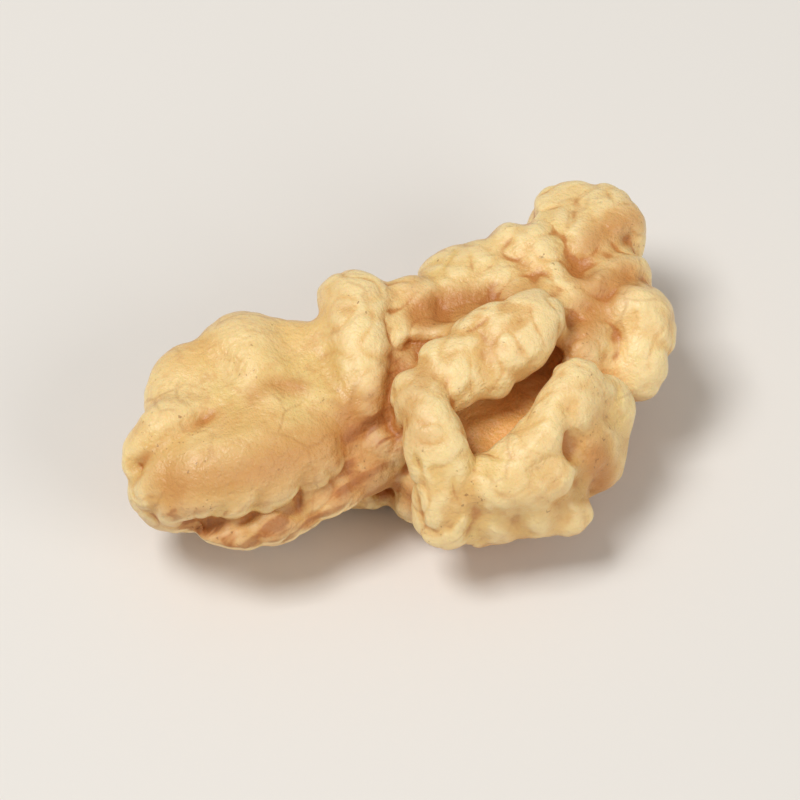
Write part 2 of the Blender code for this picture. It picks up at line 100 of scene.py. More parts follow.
def skin_faces(rings, sides):
    """Four-sided faces between neighbouring rings of points, and one face over each end."""
    ring, side = np.meshgrid(np.arange(rings - 1), np.arange(sides), indexing="ij")
    here = ring * sides + side
    beside = ring * sides + (side + 1) % sides
    faces = np.stack((here, beside, beside + sides, here + sides), -1).reshape(-1, 4).tolist()
    faces.append(list(range(sides))[::-1])
    faces.append(list(range((rings - 1) * sides, rings * sides)))
    return faces


def fold(rows, facing=None, rings=44, sides=28):
    """A fold of flesh from rows of x, y, z, width, depth. A squarish ellipse, cosine and sine to
    the power of its squareness, is carried along the smooth path with its depth pointing out of
    the pebble or along facing. Both ends close as half a ball."""
    row = smooth_path(rows, rings)
    centre, width, depth = row[:, :3], row[:, 3], row[:, 4]
    along = np.gradient(centre, axis=0)
    along /= np.linalg.norm(along, axis=1, keepdims=True)
    if facing is None:
        out = (centre - MIDDLE) / PEBBLE**2
    else:
        out = np.broadcast_to(facing, centre.shape)
    side = np.cross(along, out)
    side /= np.linalg.norm(side, axis=1, keepdims=True)
    out = np.cross(side, along)
    run = np.concatenate(([0], np.cumsum(np.linalg.norm(np.diff(centre, axis=0), axis=1))))
    to_end = np.minimum(run, run[-1] - run)
    cap = np.minimum(width, depth) / 2
    closing = np.sqrt(np.clip(1 - (1 - np.clip(to_end / cap, 0, 1)) ** 2, 0.02, 1))
    angle = np.linspace(0, 2 * math.pi, sides, endpoint=False)
    across = np.sign(np.cos(angle)) * np.abs(np.cos(angle)) ** FOLD_SQUARENESS
    outward = np.sign(np.sin(angle)) * np.abs(np.sin(angle)) ** FOLD_SQUARENESS
    ring = across[None, :, None] * side[:, None, :] * (width / 2 * closing)[:, None, None]
    ring = ring + outward[None, :, None] * out[:, None, :] * (depth / 2 * closing)[:, None, None]
    return (centre[:, None, :] + ring).reshape(-1, 3), skin_faces(rings, sides)


def lobe(outline, centre, crown, keel, fullness, rings=64, sides=240):
    """A pebble of flesh with a scalloped rim of x, y, z. From keel to crown the outline shrinks to
    the centre as a power of the cosine, faster below the rim than above it, and the height
    follows the sine."""
    rim = smooth_path(outline, sides, closed=True)
    angle = np.linspace(-math.pi / 2 + POLE_GAP, math.pi / 2 - POLE_GAP, rings)
    shrink = np.cos(angle) ** np.where(angle > 0, fullness, TUCK)
    middle = np.array(centre)
    xy = middle + (rim[None, :, :2] - middle) * shrink[:, None, None]
    rise = np.sin(angle)[:, None]
    upper = rim[None, :, 2] + (crown - rim[None, :, 2]) * rise
    lower = rim[None, :, 2] + (rim[None, :, 2] - keel) * rise
    z = np.where(angle[:, None] > 0, upper, lower)
    rows = np.concatenate((xy, z[:, :, None]), axis=2)
    turn = rim[:, 0] * np.roll(rim[:, 1], -1) - rim[:, 1] * np.roll(rim[:, 0], -1)
    if turn.sum() < 0:
        rows = rows[:, ::-1]
    return rows.reshape(-1, 3), skin_faces(rings, sides)


left_rim = [
    (-17.4, -1.2, RIM), (-15.8, 0.4, RIM), (-15.0, 2.2, RIM), (-13.9, 4.1, RIM),
    (-12.0, 5.4, RIM), (-9.6, 5.9, RIM), (-7.4, 5.6, RIM), (-5.4, 4.6, RIM), (-3.4, 4.3, RIM),
    (-1.6, 2.6, 7.4), (-1.0, 0.4, 7.0), (-1.8, -1.8, 6.6), (-3.4, -3.6, 6.2), (-6.0, -4.9, 5.8),
    (-9.4, -6.0, 5.8), (-12.6, -6.6, 5.8), (-15.6, -6.4, 6.0), (-17.4, -4.9, 6.4),
    (-18.0, -2.9, 7.0),
]
shoulder = [
    (-11.4, -0.2, 8.2, 3.0, 2.2), (-14.0, -0.9, 8.6, 3.2, 2.4), (-16.4, -1.9, 7.9, 2.8, 2.4),
]
pillow = [
    (-5.0, -3.2, 7.2, 3.6, 3.0), (-8.0, -4.1, 7.3, 5.0, 4.0), (-11.6, -4.6, 7.2, 5.2, 4.6),
    (-14.6, -4.3, 7.1, 5.0, 4.8), (-15.9, -3.9, 6.9, 4.4, 4.4),
]
inner_end = [(-4.8, 0.0, 8.0, 3.8, 3.0), (-4.5, 2.0, 8.3, 3.8, 3.0), (-4.0, 3.9, 7.9, 3.4, 3.0)]
left_keel = LOBE_UNDERSIDE - 0.4 * BACK_DROP
flesh = [
    lobe(left_rim, centre=(-9.0, -0.6), crown=FACE, keel=left_keel, fullness=0.55),
    fold(shoulder), fold(pillow), fold(inner_end),
]


# RAISED SCALLOP
# The tall rounded scallop at the inner end of the left lobe, and the low saddle between it and
# the upper lobe. Both are folds of the same flesh.

scallop = [
    (-3.7, -3.4, 7.0, 2.8, 2.6), (-3.3, -1.6, 8.1, 3.4, 3.0), (-2.8, 0.4, 8.6, 3.9, 3.4),
    (-2.0, 3.2, 8.8, 4.6, 3.8), (-1.1, 6.2, 8.2, 5.0, 4.4),
]
saddle = [
    (0.4, -0.6, 7.6, 4.4, 3.2), (0.8, 1.6, 8.0, 4.8, 3.6), (1.5, 3.6, 7.9, 4.8, 3.8),
    (1.9, 5.0, 7.4, 4.2, 3.8),
]
flesh += [fold(scallop), fold(saddle)]


# UPPER LOBE
# The far lobe on the right, solid flesh, with two large scallops at its outer corner and a notch
# between them.

upper_rim = [
    (2.0, 5.0, 7.2), (3.6, 6.6, 7.4), (5.6, 7.4, 7.4), (7.2, 7.5, 7.5), (9.0, 8.2, RIM),
    (10.2, 8.1, RIM), (11.3, 9.5, 7.8), (13.0, 10.1, 7.8), (14.6, 9.6, 7.8), (16.2, 8.4, 7.8),
    (17.1, 6.7, 7.8), (16.8, 5.0, RIM), (16.0, 4.1, 7.4), (16.4, 2.8, 7.4), (15.6, 1.4, 7.0),
    (12.6, -0.4, 6.8), (9.0, -1.4, 6.6), (5.0, -1.4, 6.4), (1.4, -0.6, 6.4), (0.4, 2.0, 6.8),
]
upper_keel = LOBE_UNDERSIDE - 0.6 * BACK_DROP
flesh += [lobe(upper_rim, centre=(9.0, 2.6), crown=FACE + 0.1, keel=upper_keel, fullness=0.6)]


# BODY
# The flesh under the window and between the lobes, which the folds stand on. It closes the back
# of the kernel under the window.

BODY_RIM = 4.2
BODY_CROWN = 6.3
BODY_KEEL = 1.3 - BACK_DROP

body_rim = [
    (-4.0, -2.6, BODY_RIM), (-2.6, -5.4, 4.0), (0.0, -7.8, 4.0), (4.0, -8.4, 4.0),
    (8.0, -7.6, 4.0), (11.4, -5.0, BODY_RIM), (13.6, -2.4, 4.4), (14.0, 2.0, 4.8),
    (12.0, 5.4, 5.0), (7.0, 5.4, 5.0), (2.0, 4.0, 5.0), (-3.0, 3.0, 5.0), (-5.0, 0.0, 4.6),
]
between_lobes = [
    (0.2, 1.4, 7.0, 4.0, 3.6), (-0.7, -1.0, 6.9, 4.2, 3.6), (-1.4, -3.6, 6.0, 4.2, 3.6),
    (-1.8, -5.8, 5.0, 3.8, 3.4),
]
under_skin = [(-1.4, -4.4, 4.4, 4.0, 4.0), (-4.2, -4.2, 3.8, 4.4, 3.8), (-8.0, -5.0, 3.6, 4.0, 3.4)]
under_scallop = [(-4.4, 2.4, 4.4, 4.2, 4.4), (-1.4, 3.4, 4.2, 4.6, 5.0), (2.4, 3.6, 4.2, 4.2, 4.6)]
flesh += [
    lobe(body_rim, centre=(3.0, -2.0), crown=BODY_CROWN, keel=BODY_KEEL, fullness=0.7),
    fold(between_lobes), fold(under_skin), fold(under_scallop),
]


# FINGER
# The finger of flesh that leans over the window from the left, and the stepped fold along its
# front edge.

FINGER_TOP = 9.5

finger = [
    (0.2, -2.6, FINGER_TOP - 1.1, 4.4, 4.0), (2.8, -2.6, FINGER_TOP - 0.3, 4.8, 3.8),
    (5.6, -1.8, FINGER_TOP, 5.0, 3.8), (8.0, -0.7, FINGER_TOP - 0.1, 4.0, 3.4),
    (10.1, -0.3, FINGER_TOP - 0.5, 3.6, 3.2),
]
finger_edge = [
    (2.8, -3.9, FINGER_TOP - 0.9, 2.4, 3.0), (4.6, -3.7, FINGER_TOP - 0.6, 2.6, 3.0),
    (6.0, -3.3, FINGER_TOP - 0.5, 2.4, 2.8),
]
behind_finger = [
    (1.4, -0.6, 8.0, 3.6, 2.8), (4.4, 0.2, 8.3, 3.6, 2.8), (7.2, 0.8, 8.4, 3.4, 2.8),
    (9.6, 1.2, 8.2, 3.2, 2.8),
]
flesh += [fold(finger), fold(finger_edge), fold(behind_finger)]


# BRIDGE AND FRONT WALL
# The bridge is the ridge from the root of the finger over the front and down to the foot. The
# front wall is the row of upright folds beside it, grown together along their creases.

bridge = [
    (0.6, -2.0, 8.2, 3.6, 3.6), (0.0, -4.4, 8.9, 3.3, 3.8), (-0.1, -7.0, 8.6, 3.5, 3.8),
    (0.0, -8.6, 7.0, 4.0, 3.6), (0.2, -9.5, 5.0, 4.2, 3.6), (0.5, -9.7, 2.9, 4.2, 3.4),
]
second_fold = [
    (2.6, -8.5, 7.3, 2.8, 2.6), (2.6, -9.2, 6.2, 3.2, 3.2), (2.7, -10.1, 4.0, 4.0, 3.2),
    (2.9, -9.8, 1.8, 3.2, 3.0),
]
third_fold = [
    (5.0, -8.0, 7.6, 3.0, 2.8), (5.1, -8.7, 6.6, 3.2, 3.4), (5.3, -10.1, 4.0, 4.0, 3.2),
    (5.5, -10.0, 1.8, 3.2, 3.0),
]
fourth_fold = [
    (6.9, -6.7, 7.9, 3.0, 2.8), (7.1, -7.4, 6.8, 3.6, 3.4), (7.4, -9.8, 4.0, 3.8, 3.2),
    (7.9, -10.7, 1.8, 3.4, 3.0),
]
corner_fold = [
    (10.4, -4.6, 7.6, 3.8, 3.4), (10.6, -5.0, 7.2, 4.0, 3.8), (10.5, -5.4, 6.6, 4.0, 3.8),
    (10.2, -6.0, 5.4, 4.0, 3.8), (9.9, -7.4, 3.4, 3.8, 3.6), (9.8, -8.2, 2.0, 3.4, 3.2),
]
wall_fill = [
    (8.4, -6.2, 7.9, 3.4, 3.6), (9.0, -6.6, 7.0, 4.0, 4.2), (9.1, -7.8, 5.0, 4.2, 4.4),
    (9.0, -8.8, 3.4, 3.6, 3.6),
]
window_rim = [
    (3.1, -9.5, 6.8, 2.6, 2.8), (5.1, -8.7, 7.6, 2.8, 3.2), (7.6, -7.2, 8.2, 3.2, 3.4),
    (9.5, -5.6, 8.2, 4.0, 3.6), (10.9, -4.2, 8.1, 4.0, 3.6),
]
wall_face = [
    (0.6, -8.4, 6.0, 3.4, 5.0), (3.4, -9.1, 5.6, 3.8, 5.6), (6.2, -8.9, 5.6, 4.0, 5.6),
    (8.6, -8.0, 5.6, 4.0, 5.0),
]
flesh += [
    fold(bridge), fold(second_fold), fold(third_fold), fold(fourth_fold), fold(corner_fold),
    fold(wall_fill), fold(window_rim), fold(wall_face, facing=(0.0, -0.55, 0.84)),
]


# END KNOB
# The rounded knob that closes the right end, and the flesh that ties it to the wall.

knob = [
    (12.6, -0.8, 6.8, 3.0, 3.2), (14.6, -0.2, 7.3, 4.2, 4.0), (14.8, -1.4, 6.4, 4.2, 4.0),
    (13.8, -2.3, 5.2, 4.0, 3.8), (12.4, -2.6, 3.6, 3.8, 3.6),
]
knob_root = [(11.6, -2.0, 5.6, 4.0, 4.0), (12.8, -2.2, 4.2, 4.4, 4.2), (12.6, 0.4, 3.6, 4.4, 4.2)]
groove_floor = [
    (8.6, -2.6, 6.4, 3.6, 2.8), (10.6, -2.4, 6.8, 4.4, 2.8), (12.0, -1.0, 6.9, 4.4, 2.8),
    (13.2, 0.4, 7.0, 4.2, 3.0), (14.4, 1.6, 7.2, 3.4, 3.2),
]
flesh += [fold(knob), fold(knob_root), fold(groove_floor)]


# SEPTUM SKIN
# The broad thin brown skin that lay against the wall of the shell. It is grown onto the kernel
# between the front pillow and the bridge, and faces up and to the front.

SKIN_FACING = (-0.1, -0.5, 0.86)

septum = [
    (-1.2, -1.6, 7.2, 2.6, 1.8), (-2.6, -3.2, 6.5, 4.6, 1.8), (-4.9, -4.6, 5.6, 5.0, 1.8),
    (-8.4, -6.1, 4.8, 4.0, 1.7), (-12.2, -6.9, 4.6, 2.6, 1.5), (-15.0, -6.2, 5.0, 1.4, 1.2),
]
lobe_flank = [
    (-2.6, -1.0, 7.5, 3.6, 1.8), (-4.8, -2.8, 7.2, 4.2, 2.0), (-7.6, -4.6, 6.4, 3.8, 1.8),
    (-10.4, -5.8, 5.7, 2.6, 1.4),
]
flesh += [fold(septum, facing=SKIN_FACING), fold(lobe_flank, facing=(-0.1, -0.62, 0.78))]


# RIBS AND KEEL OF THE BACK
# Ribs all round turn over the rim and run down to the keel, a winding ridge along the middle of
# the back that the kernel rests on. Each row of a rib is the point where it turns over the rim,
# the point where it meets the keel, and how much wider than the others it is.

RIB_ROWS = 6
RIB_SEED = 11
RIB_WIDTH = 4.0
RIB_DEPTH_TO_WIDTH = 0.88
RIB_LIFT = 0.42
RIB_SWAY = 1.1
RIB_TAPER = 0.22
RIB_CURVE = 0.009
KEEL_MIDDLE_X = 0.5
KEEL_RIDGE_WIDTH = 2.7
KEEL_RIDGE_DEPTH = 3.0
KEEL_CURVE = 0.02
KEEL_ROWS = 13


def rib(rim_x, rim_y, rim_z, keel_x, keel_y, width, sway):
    """A quarter of an ellipse from the rim down to the keel: the plan follows the cosine to the
    power 0.8, the height falls as the sine to the power 1.3, and it sways sideways as a sine."""
    step = np.linspace(0, 1, RIB_ROWS)
    rim, keel = np.array((rim_x, rim_y)), np.array((keel_x, keel_y))
    across = np.array((-(keel - rim)[1], (keel - rim)[0]))
    across /= np.linalg.norm(across)
    xy = keel + (rim - keel) * (np.cos(step * math.pi / 2) ** 0.8)[:, None]
    xy = xy + across * (sway * np.sin(step * math.pi * 1.7))[:, None]
    low = width * RIB_LIFT - BACK_DROP + RIB_CURVE * (keel_x - KEEL_MIDDLE_X) ** 2
    z = low + (rim_z - low) * (1 - np.sin(step * math.pi / 2) ** 1.3)
    wide = width * (1 - RIB_TAPER * step)
    return fold(np.column_stack((xy, z, wide, wide * RIB_DEPTH_TO_WIDTH)))


rib_rows = [
    (-16.1, -2.2, 5.6, -10.4, -1.4, -0.4), (-14.4, 0.8, 5.8, -9.0, 0.2, -0.6),
    (-12.4, 3.6, 5.8, -8.4, 1.4, -0.5), (-9.0, 4.3, 5.8, -6.2, 0.8, -0.3),
    (-5.8, 3.7, 5.8, -3.6, 1.0, -0.5), (-1.6, 5.6, 5.8, -1.0, 1.0, 0.2),
    (1.8, 4.2, 5.4, 1.4, 0.8, -0.2), (4.9, 5.8, 5.8, 3.6, 1.1, -0.4),
    (8.4, 6.6, 5.9, 6.0, 1.0, -0.4), (12.2, 8.1, 5.8, 8.2, 1.4, 0.2),
    (15.0, 6.4, 5.8, 10.0, 1.8, 0.0), (14.8, 3.0, 5.6, 10.6, 0.4, -0.4),
    (14.2, -1.0, 4.8, 9.4, -0.8, 0.0), (10.5, -4.6, 4.2, 8.4, -2.2, 0.0),
    (8.2, -7.8, 3.4, 6.2, -2.6, 0.0), (5.4, -8.6, 3.2, 4.0, -2.8, -0.2),
    (2.6, -8.6, 3.2, 1.8, -2.6, 0.0), (-0.6, -6.2, 3.4, -0.6, -2.8, -0.2),
    (-4.4, -4.4, 3.4, -3.2, -2.6, 0.0), (-8.4, -4.8, 4.2, -6.0, -2.4, 0.2),
    (-12.6, -4.8, 4.6, -8.6, -2.6, 0.2),
]
rib_sways = np.random.default_rng(RIB_SEED).uniform(-RIB_SWAY, RIB_SWAY, len(rib_rows))
flesh += [
    rib(*row[:5], RIB_WIDTH + row[5], sway) for row, sway in zip(rib_rows, rib_sways)
]

# The ridge winds as a sum of two sines, its width swells as a third, and it rises to both ends
ridge_x = np.linspace(-12.0, 13.0, KEEL_ROWS)
ridge_y = -0.7 + 0.05 * ridge_x
ridge_y = ridge_y + 0.75 * np.sin(ridge_x * 0.95) + 0.35 * np.sin(ridge_x * 2.1 + 1.0)
ridge_z = KEEL_RIDGE_DEPTH / 2 - BACK_DROP + KEEL_CURVE * (ridge_x - KEEL_MIDDLE_X) ** 2
ridge_width = KEEL_RIDGE_WIDTH + 0.5 * np.sin(ridge_x * 1.4)
ridge_depth = np.full(KEEL_ROWS, KEEL_RIDGE_DEPTH)
ridge = np.column_stack((ridge_x, ridge_y, ridge_z, ridge_width, ridge_depth))
flesh += [fold(ridge, rings=130)]


# GROWN KERNEL
# All the folds are one piece of flesh under one thin skin, so they are fused, and then given the
# lumps, creases, knobbles and fine wrinkles of a dried kernel.

GROWTH_CELL = 0.135
EASING_STEPS = 26
LUMP_SIZE = 2.6
LUMP_HEIGHT_BACK = 0.62
LUMP_HEIGHT_FACE = 0.13
LUMP_SEED = 5
SWELL_SIZE = 3.4
SWELL_HEIGHT = 0.16
SWELL_SEED = 41
SOFTENING_STEPS = 14
KNOBBLE_SIZE = 1.35
KNOBBLE_HEIGHT = 0.13
KNOBBLE_SEED = 21
WRINKLE_SIZE = 0.6
WRINKLE_HEIGHT = 0.020
WRINKLE_SEED = 31
LEFT_LOBE_TO_X = -3.5
FACE_FROM_Z = 6.6
WALL_FROM_X = 1.0
WALL_FROM_Y = -5.0
MOST_TRIANGLES = 190000
REST_DEPTH = 0.35


def fused(pieces):
    """One mesh of all the pieces: the union of the first with a collection of the others, then one
    even skin of small cells over it."""
    folds = bpy.data.collections.new("folds")
    bpy.context.scene.collection.children.link(folds)
    for number, (points, faces) in enumerate(pieces):
        mesh = bpy.data.meshes.new(f"fold_{number}")
        mesh.from_pydata(points.tolist(), [], faces)
        obj = bpy.data.objects.new(f"fold_{number}", mesh)
        (folds if number else bpy.context.scene.collection).objects.link(obj)
        if number == 0:
            whole = obj
    join = whole.modifiers.new("join", "BOOLEAN")
    join.operation = "UNION"
    join.operand_type = "COLLECTION"
    join.collection = folds
    join.solver = "MANIFOLD"
    skin = whole.modifiers.new("one_skin", "REMESH")
    skin.mode = "VOXEL"
    skin.voxel_size = GROWTH_CELL
    ease = whole.modifiers.new("ease", "SMOOTH")
    ease.factor = 0.5
    ease.iterations = EASING_STEPS
    mesh = settled(whole)
    for obj in list(folds.objects) + [whole]:
        bpy.data.objects.remove(obj)
    bpy.data.collections.remove(folds)
    return mesh


def settled(obj):
    """The mesh of an object with its modifiers applied."""
    graph = bpy.context.evaluated_depsgraph_get()
    return bpy.data.meshes.new_from_object(obj.evaluated_get(graph))


def joins(mesh):
    """The two points of each edge of the mesh."""
    ends = np.empty(len(mesh.edges) * 2, dtype=np.int32)
    mesh.edges.foreach_get("vertices", ends)
    return ends.reshape(-1, 2)


def shell_numbers(count, edges):
    """The shell that each point is on, as the number of its lowest point. Over and over, the number
    of either end of an edge takes the lower of the two numbers there, and each point takes the
    number of its number, until nothing changes."""
    number = np.arange(count)
    while True:
        lower = number.copy()
        least = number[edges].min(1)
        np.minimum.at(lower, number[edges[:, 0]], least)
        np.minimum.at(lower, number[edges[:, 1]], least)
        lower = lower[lower]
        if np.array_equal(lower, number):
            return number
        number = lower


def keep_outer_skin(mesh):
    """Keeps the shell with the most points, so no closed hollow is left inside the flesh."""
    number = shell_numbers(len(mesh.vertices), joins(mesh))
    inner = np.flatnonzero(number != np.bincount(number).argmax())
    shells = bmesh.new()
    shells.from_mesh(mesh)
    shells.verts.ensure_lookup_table()
    bmesh.ops.delete(shells, geom=[shells.verts[i] for i in inner.tolist()], context="VERTS")
    shells.to_mesh(mesh)
    shells.free()


def read_points(mesh):
    """The places of the mesh's points, and the directions in which the skin faces there."""
    points = np.empty(len(mesh.vertices) * 3)
    mesh.vertices.foreach_get("co", points)
    normals = np.empty(len(mesh.vertices) * 3)
    mesh.vertices.foreach_get("normal", normals)
    return points.reshape(-1, 3), normals.reshape(-1, 3)


def write_points(mesh, points):
    """Moves the mesh's points to new places."""
    mesh.vertices.foreach_set("co", points.ravel())
    mesh.update()


def eased(points, edges, steps):
    """Each step moves every point halfway to the mean of its neighbours."""
    count = len(points)
    near = np.bincount(edges.ravel(), minlength=count)[:, None]
    for _ in range(steps):
        total = np.column_stack([
            np.bincount(edges[:, 0], points[edges[:, 1], k], count)
            + np.bincount(edges[:, 1], points[edges[:, 0], k], count)
            for k in range(3)
        ])
        points = 0.5 * points + 0.5 * total / near
    return points


def wave_sum(points, size, seed, waves):
    """A sum of sine waves in random directions, each of about half a wave to a lump, divided by
    its usual size."""
    rng = np.random.default_rng(seed)
    way = rng.normal(size=(waves, 3))
    way /= np.linalg.norm(way, axis=1, keepdims=True)
    way *= (math.pi / size) * rng.uniform(0.8, 1.25, (waves, 1))
    phase = rng.uniform(0, 2 * math.pi, waves)
    return np.sin(points @ way.T + phase).sum(1) * math.sqrt(2 / waves)


def billow(points, size, seed, waves=14):
    """Rounded lumps parted by soft creases: one minus the exponential of minus the size of a sum
    of waves, the size rounded off near nothing, so near 0 in a crease and near 1 on a lump."""
    return 1 - np.exp(-1.6 * np.sqrt(wave_sum(points, size, seed, waves) ** 2 + 0.03))


def nearness(points, rows, half):
    """How near each point is to the smooth path through the rows: exp(-(distance / half)^2)."""
    path = smooth_path(np.asarray(rows)[:, :3], 40)
    near = np.all((points > path.min(0) - 3 * half) & (points < path.max(0) + 3 * half), axis=1)
    place = points[near][:, None]
    start, leg = path[:-1], path[1:] - path[:-1]
    along = np.clip(((place - start) * leg).sum(-1) / (leg * leg).sum(-1), 0, 1)
    gap = ((place - (start + leg * along[..., None])) ** 2).sum(-1).min(1)
    amount = np.zeros(len(points))
    amount[near] = np.exp(-gap / half**2)
    return amount


# Creases and low ridges of the skin: rows of x, y, z, then half width, then height, minus for a
# crease. The crevice runs between the lobes, where the brown skin starts
crevice_line = [(-0.5, -0.9, 8.2), (-1.1, -2.2, 8.0), (-1.8, -3.6, 7.4), (-2.2, -5.0, 6.6)]
crease_lines = [
    ([(-17.6, -3.0, 7.8), (-14.6, -2.3, 8.9), (-12.8, -1.8, 9.2)], 0.6, -1.1),
    ([(-11.6, -1.5, 9.3), (-10.4, -1.3, 9.5), (-8.0, -1.4, 9.5)], 1.2, -0.3),
    ([(-4.2, 4.8, 8.0), (-4.6, 1.8, 9.2), (-5.0, -1.0, 9.4)], 1.0, -0.35),
    ([(-9.2, 5.0, 8.0), (-8.6, 1.6, 9.4), (-8.2, -1.2, 9.4)], 1.4, 0.45),
    ([(-6.9, 5.0, 8.0), (-6.6, 2.0, 9.2), (-6.6, 0.0, 9.2)], 0.8, -0.45),
    ([(-11.6, 4.6, 8.0), (-11.0, 2.4, 9.2), (-10.6, 0.8, 9.4)], 0.8, -0.35),
    ([(-8.3, -0.4, 9.4), (-7.4, -1.6, 9.2), (-6.8, -2.4, 8.8)], 0.7, -0.5),
    ([(-15.2, -6.6, 5.2), (-12.0, -6.4, 5.4), (-9.0, -5.7, 5.8), (-5.6, -4.2, 6.6)], 0.6, -0.8),
    (crevice_line, 0.5, -1.2),
    ([(1.8, 1.8, 9.2), (3.8, 2.0, 9.5), (6.0, 1.9, 9.5)], 1.2, -0.8),
    ([(0.6, 0.1, 9.2), (2.0, -0.3, 9.5), (3.2, -0.5, 9.8)], 0.45, -0.8),
    ([(7.6, -2.6, 7.6), (10.4, -1.6, 8.0), (13.0, 0.4, 8.2), (15.4, 1.0, 7.6)], 0.8, -0.8),
    ([(10.6, 7.4, 8.4), (11.4, 5.0, 9.4), (12.0, 3.0, 9.5)], 0.9, -0.6),
    ([(4.0, -4.8, 9.4), (4.4, -2.6, 11.2), (4.6, -0.6, 10.6)], 0.6, -0.35),
    ([(7.0, -2.8, 9.8), (6.9, -1.2, 11.2), (6.6, 0.2, 10.4)], 0.6, -0.35),
    ([(15.8, 4.4, 8.2), (13.8, 3.4, 9.3), (12.0, 2.6, 9.5)], 0.9, -0.6),
    ([(7.6, 7.0, 8.2), (8.4, 4.4, 9.3), (9.2, 2.8, 9.5)], 0.8, -0.5),
    ([(1.7, -10.4, 6.8), (1.4, -11.4, 4.4), (2.0, -11.6, 2.4), (2.2, -10.8, 0.6)], 0.7, -0.55),
    ([(4.1, -9.4, 7.8), (3.7, -11.2, 5.2), (4.4, -11.8, 3.0), (4.2, -11.4, 0.8)], 0.7, -0.25),
    ([(5.6, -9.4, 7.6), (6.6, -10.6, 5.8), (6.4, -11.4, 3.0), (6.9, -11.0, 0.6)], 0.7, -0.25),
    ([(8.2, -7.4, 9.6), (7.9, -8.8, 8.2), (7.8, -9.9, 5.8), (8.6, -10.4, 3.2), (8.9, -10.2, 0.8)],
     0.65, -0.7),
]


def past(value, edge, width):
    """Rises from 0 to 1 as the value passes the edge: the logistic curve of the given width."""
    return 1 / (1 + np.exp((edge - value) / width))


def smooth_share(points, normals):
    """Where the skin is tight and smooth: near 1 on the face of the left lobe, about a half on
    the front wall, 0 elsewhere."""
    up = np.clip(normals[:, 2] * 2 - 0.4, 0, 1)
    left = past(-points[:, 0], -LEFT_LOBE_TO_X, 0.8)
    high = past(points[:, 2], FACE_FROM_Z, 0.4)
    right = past(points[:, 0], WALL_FROM_X, 0.5)
    front = past(-points[:, 1], -WALL_FROM_Y, 0.6)
    outward = np.clip(0.6 - normals[:, 1], 0, 1) * np.clip(normals[:, 2] * 2 + 1.0, 0, 1)
    return np.maximum(up * left * high, 0.6 * right * front * outward)


def wrinkled(mesh):
    """Lumps all over, higher on the back than on the face, then the creases, then knobbles and
    fine wrinkles that fade on the smooth lobe. All move the skin along its normals."""
    points, normals = read_points(mesh)
    facing_up = np.clip(normals[:, 2], 0, 1) * np.clip((points[:, 2] - 5) / 3, 0, 1)
    height = LUMP_HEIGHT_BACK + (LUMP_HEIGHT_FACE - LUMP_HEIGHT_BACK) * facing_up
    height *= 1 - 0.95 * smooth_share(points, normals)
    lumps = height * (billow(points, LUMP_SIZE, LUMP_SEED) - 0.6)
    lumps += SWELL_HEIGHT * wave_sum(points, SWELL_SIZE, SWELL_SEED, 14)
    points = points + normals * lumps[:, None]
    press = sum(tall * nearness(points, rows, half) for rows, half, tall in crease_lines)
    write_points(mesh, eased(points + normals * press[:, None], joins(mesh), SOFTENING_STEPS))
    points, normals = read_points(mesh)
    tight = smooth_share(points, normals)
    knobbles = (billow(points, KNOBBLE_SIZE, KNOBBLE_SEED) - 0.55) * KNOBBLE_HEIGHT
    wrinkles = wave_sum(points, WRINKLE_SIZE, WRINKLE_SEED, 24) * WRINKLE_HEIGHT
    fine = knobbles * (1 - 0.75 * tight) + wrinkles * (1 - 0.6 * tight)
    write_points(mesh, points + normals * fine[:, None])


kernel_mesh = fused(flesh)
keep_outer_skin(kernel_mesh)
wrinkled(kernel_mesh)

# Thinned to its most triangles. A face of the even skin is two of them

kernel = bpy.data.objects.new("walnut_kernel", kernel_mesh)
bpy.context.scene.collection.objects.link(kernel)
thin = kernel.modifiers.new("thin", "DECIMATE")
thin.ratio = min(1.0, MOST_TRIANGLES / (2 * len(kernel_mesh.polygons)))
thin.use_collapse_triangulate = True
kernel_mesh = settled(kernel)
kernel.modifiers.clear()
kernel.data = kernel_mesh
kernel_mesh.name = "walnut_kernel"

# Marks of the skin, from the folded shape in millimetres, before the kernel is laid down. Three
# of them say how far the skin lies below the same skin eased by so many steps, over a usual depth

CREASE_STEPS = (6, 30, 110)
CREASE_DEPTHS = (0.035, 0.11, 0.34)
WINDOW_RIM_Z = 7.3


def set_mark(mesh, name, values):
    """Keeps a value from 0 to 1 for each point of the mesh, under a name."""
    layer = mesh.attributes.new(name, "FLOAT", "POINT")
    layer.data.foreach_set("value", np.clip(values, 0, 1).astype(np.float32))


points, normals = read_points(kernel_mesh)
edges = joins(kernel_mesh)
soft, done, depth = points, 0, []
for steps, scale in zip(CREASE_STEPS, CREASE_DEPTHS):
    soft = eased(soft, edges, steps - done)
    done = steps
    depth.append(((soft - points) * normals).sum(1) / scale)
deepened = 0.5 * (1 - 0.65 * smooth_share(points, normals))
# These marks set where shade is painted into the fine creases, creases and hollows
for name, level in zip(("fine_crease", "crease", "hollow"), depth):
    set_mark(kernel_mesh, name, 0.5 + deepened * level)

facing_away = np.maximum(-normals[:, 2], 0.8 * normals[:, 1] - 0.4 * normals[:, 2])
set_mark(kernel_mesh, "outer_side", np.clip(facing_away * 2.2 - 0.2, 0, 1))
on_skin = np.clip(normals @ np.array(SKIN_FACING) * 2.2 - 0.5, 0, 1)
brown_skin = nearness(points, septum, 2.6) * on_skin
crevice = nearness(points, crevice_line, 1.1)
set_mark(kernel_mesh, "brown_skin", np.maximum(brown_skin * 1.2, crevice))
window_floor = [(3.0, -5.4, 5.4), (5.4, -4.6, 5.0), (8.0, -3.6, 5.4), (9.8, -2.8, 6.2)]
below_rim = past(-points[:, 2], -WINDOW_RIM_Z, 0.35)
set_mark(kernel_mesh, "window_wall", nearness(points, window_floor, 2.5) * below_rim * 1.3)
